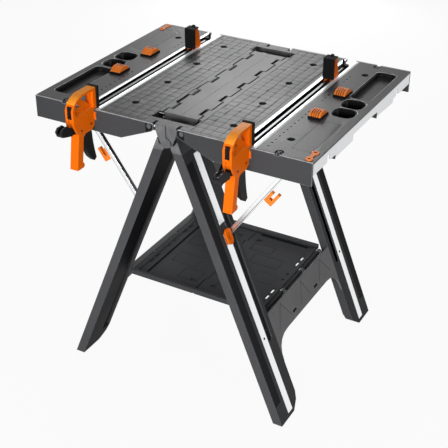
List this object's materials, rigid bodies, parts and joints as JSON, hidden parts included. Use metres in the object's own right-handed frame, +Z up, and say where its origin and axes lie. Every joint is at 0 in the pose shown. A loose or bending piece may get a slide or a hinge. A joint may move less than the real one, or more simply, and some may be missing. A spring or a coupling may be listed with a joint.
{
  "type": "folding workbench",
  "caption": "Folding workbench: split grid top with bar clamps in tracks, bench dogs, hinged wings on struts, scissor leg frames and a fold-up lower shelf.",
  "frame": {"origin": "on the floor, under the middle of the whole bench's outline seen from above, clamps and levers included", "axes": "+X to the right of a person at the clamp handles, +Y to the rear, +Z up"},
  "size_m": [0.787, 0.7698, 0.8763],
  "materials": {
    "moulded": "dark grey moulded resin, fine grain",
    "black": "black moulded resin",
    "orange": "orange moulded resin, satin",
    "aluminium": "bright extruded aluminium",
    "steel": "bright drawn steel"
  },
  "bodies": {
    "right_frame": {"right_head": "moulded", "right_hinge_pin": "steel", "right_cross_panel": "moulded", "right_front_leg": "moulded", "right_rear_leg": "moulded", "right_front_leg_strip": "aluminium", "right_rear_leg_strip": "aluminium", "leg_pivot_rod": "steel"},
    "right_wing": {"right_inner_deck": "moulded", "right_outer_deck": "moulded", "right_front_skirt": "moulded", "right_rear_skirt": "moulded", "right_clamp_track": "aluminium", "right_edge_trim": "aluminium"},
    "right_front_strut_arm": {"right_front_strut": "aluminium", "right_strut_hook": "orange"},
    "right_rear_strut_arm": {"right_rear_strut": "aluminium"},
    "right_clamp": {"right_clamp_body": "orange", "right_clamp_pad": "black"},
    "right_trigger": {"right_clamp_trigger": "black"},
    "right_lever": {"right_release_lever": "black"},
    "right_bar": {"right_clamp_bar": "steel", "right_rear_jaw": "orange", "right_rear_jaw_pad": "black"},
    "right_front_bench_dog": {"right_front_dog": "orange"},
    "right_front_lock": {"right_front_lock_button": "orange"},
    "right_rear_bench_dog": {"right_rear_dog": "orange"},
    "right_rear_lock": {"right_rear_lock_button": "orange"},
    "right_clip": {"right_connector_clip": "orange"},
    "left_frame": {"left_head": "moulded", "left_hinge_pin": "steel", "left_cross_panel": "moulded", "left_front_leg": "moulded", "left_rear_leg": "moulded", "left_front_leg_strip": "aluminium", "left_rear_leg_strip": "aluminium"},
    "left_wing": {"left_inner_deck": "moulded", "left_outer_deck": "moulded", "left_front_skirt": "moulded", "left_rear_skirt": "moulded", "left_clamp_track": "aluminium", "left_edge_trim": "aluminium"},
    "left_front_strut_arm": {"left_front_strut": "aluminium", "left_strut_hook": "orange"},
    "left_rear_strut_arm": {"left_rear_strut": "aluminium"},
    "left_clamp": {"left_clamp_body": "orange", "left_clamp_pad": "black"},
    "left_trigger": {"left_clamp_trigger": "black"},
    "left_lever": {"left_release_lever": "black"},
    "left_bar": {"left_clamp_bar": "steel", "left_rear_jaw": "orange", "left_rear_jaw_pad": "black"},
    "left_front_bench_dog": {"left_front_dog": "orange"},
    "left_front_lock": {"left_front_lock_button": "orange"},
    "left_rear_bench_dog": {"left_rear_dog": "orange"},
    "left_rear_lock": {"left_rear_lock_button": "orange"},
    "left_clip": {"left_connector_clip": "orange"},
    "right_shelf": {"right_shelf_half": "moulded", "shelf_centre_pin": "steel"},
    "left_shelf": {"left_shelf_half": "moulded"}
  },
  "joints": [
    {"name": "leg_fold", "type": "hinge", "parent": "right_frame", "child": "left_frame", "pos_m": [0, 0.06742, 0.766], "axis": [0, -1, 0], "range_deg": [0, 44]},
    {"name": "right_wing_fold", "type": "hinge", "parent": "right_frame", "child": "right_wing", "pos_m": [0.0465, 0.06742, 0.803], "axis": [0, 1, 0], "range_deg": [0, 62]},
    {"name": "right_front_strut_swing", "type": "hinge", "parent": "right_wing", "child": "right_front_strut_arm", "pos_m": [0.329, -0.15658, 0.783], "axis": [0, -1, 0], "range_deg": [0, 112.41]},
    {"name": "right_rear_strut_swing", "type": "hinge", "parent": "right_wing", "child": "right_rear_strut_arm", "pos_m": [0.329, 0.29142, 0.783], "axis": [0, -1, 0], "range_deg": [0, 112.41]},
    {"name": "right_clamp_slide", "type": "slide", "parent": "right_wing", "child": "right_clamp", "axis": [0, 1, 0], "range_m": [-0.15, 0]},
    {"name": "right_trigger_pull", "type": "hinge", "parent": "right_clamp", "child": "right_trigger", "pos_m": [0.22, -0.27858, 0.779], "axis": [-1, 0, 0], "range_deg": [0, 10], "stiffness_Nm_per_rad": 2},
    {"name": "right_release_press", "type": "hinge", "parent": "right_clamp", "child": "right_lever", "pos_m": [0.22, -0.31858, 0.781], "axis": [1, 0, 0], "range_deg": [0, 12], "stiffness_Nm_per_rad": 1},
    {"name": "right_bar_slide", "type": "slide", "parent": "right_clamp", "child": "right_bar", "axis": [0, 1, 0], "range_m": [-0.42, 0]},
    {"name": "right_front_dog_lift", "type": "slide", "parent": "right_wing", "child": "right_front_bench_dog", "axis": [0, 0, 1], "range_m": [0, 0.03]},
    {"name": "right_rear_dog_lift", "type": "slide", "parent": "right_wing", "child": "right_rear_bench_dog", "axis": [0, 0, 1], "range_m": [0, 0.03]},
    {"name": "right_clip_lift", "type": "slide", "parent": "right_wing", "child": "right_clip", "axis": [0, 0, 1], "range_m": [0, 0.02]},
    {"name": "right_front_lock_press", "type": "slide", "parent": "right_frame", "child": "right_front_lock", "axis": [-0.9272, 0, -0.3746], "range_m": [0, 0.002], "stiffness_N_per_m": 900},
    {"name": "right_rear_lock_press", "type": "slide", "parent": "right_frame", "child": "right_rear_lock", "axis": [-0.9272, 0, -0.3746], "range_m": [0, 0.002], "stiffness_N_per_m": 900},
    {"name": "left_wing_fold", "type": "hinge", "parent": "left_frame", "child": "left_wing", "pos_m": [-0.0465, 0.06742, 0.803], "axis": [0, -1, 0], "range_deg": [0, 62]},
    {"name": "left_front_strut_swing", "type": "hinge", "parent": "left_wing", "child": "left_front_strut_arm", "pos_m": [-0.329, -0.15658, 0.783], "axis": [0, 1, 0], "range_deg": [0, 112.41]},
    {"name": "left_rear_strut_swing", "type": "hinge", "parent": "left_wing", "child": "left_rear_strut_arm", "pos_m": [-0.329, 0.29142, 0.783], "axis": [0, 1, 0], "range_deg": [0, 112.41]},
    {"name": "left_clamp_slide", "type": "slide", "parent": "left_wing", "child": "left_clamp", "axis": [0, -1, 0], "range_m": [0, 0.15]},
    {"name": "left_trigger_pull", "type": "hinge", "parent": "left_clamp", "child": "left_trigger", "pos_m": [-0.22, -0.27858, 0.779], "axis": [-1, 0, 0], "range_deg": [0, 10], "stiffness_Nm_per_rad": 2},
    {"name": "left_release_press", "type": "hinge", "parent": "left_clamp", "child": "left_lever", "pos_m": [-0.22, -0.31858, 0.781], "axis": [1, 0, 0], "range_deg": [0, 12], "stiffness_Nm_per_rad": 1},
    {"name": "left_bar_slide", "type": "slide", "parent": "left_clamp", "child": "left_bar", "axis": [0, 1, 0], "range_m": [-0.42, 0]},
    {"name": "left_front_dog_lift", "type": "slide", "parent": "left_wing", "child": "left_front_bench_dog", "axis": [0, 0, 1], "range_m": [0, 0.03]},
    {"name": "left_rear_dog_lift", "type": "slide", "parent": "left_wing", "child": "left_rear_bench_dog", "axis": [0, 0, 1], "range_m": [0, 0.03]},
    {"name": "left_clip_lift", "type": "slide", "parent": "left_wing", "child": "left_clip", "axis": [0, 0, 1], "range_m": [0, 0.02]},
    {"name": "left_front_lock_press", "type": "slide", "parent": "left_frame", "child": "left_front_lock", "axis": [0.9272, 0, -0.3746], "range_m": [0, 0.002], "stiffness_N_per_m": 900},
    {"name": "left_rear_lock_press", "type": "slide", "parent": "left_frame", "child": "left_rear_lock", "axis": [0.9272, 0, -0.3746], "range_m": [0, 0.002], "stiffness_N_per_m": 900},
    {"name": "shelf_lift", "type": "hinge", "parent": "right_frame", "child": "right_shelf", "pos_m": [0.213, 0.06742, 0.2516], "axis": [0, 1, 0], "range_deg": [0, 66.8]},
    {"name": "shelf_fold", "type": "hinge", "parent": "right_shelf", "child": "left_shelf", "pos_m": [0, 0.06742, 0.2516], "axis": [0, -1, 0], "range_deg": [0, 177.5]}
  ],
  "couplings": [
    {"joint": "right_front_strut_swing", "follows": "right_wing_fold", "ratio": 1.8131},
    {"joint": "right_rear_strut_swing", "follows": "right_wing_fold", "ratio": 1.8131},
    {"joint": "left_front_strut_swing", "follows": "left_wing_fold", "ratio": 1.8131},
    {"joint": "left_rear_strut_swing", "follows": "left_wing_fold", "ratio": 1.8131},
    {"joint": "shelf_lift", "follows": "leg_fold", "ratio": 1.5162},
    {"joint": "shelf_fold", "follows": "leg_fold", "ratio": 4.0323}
  ]
}
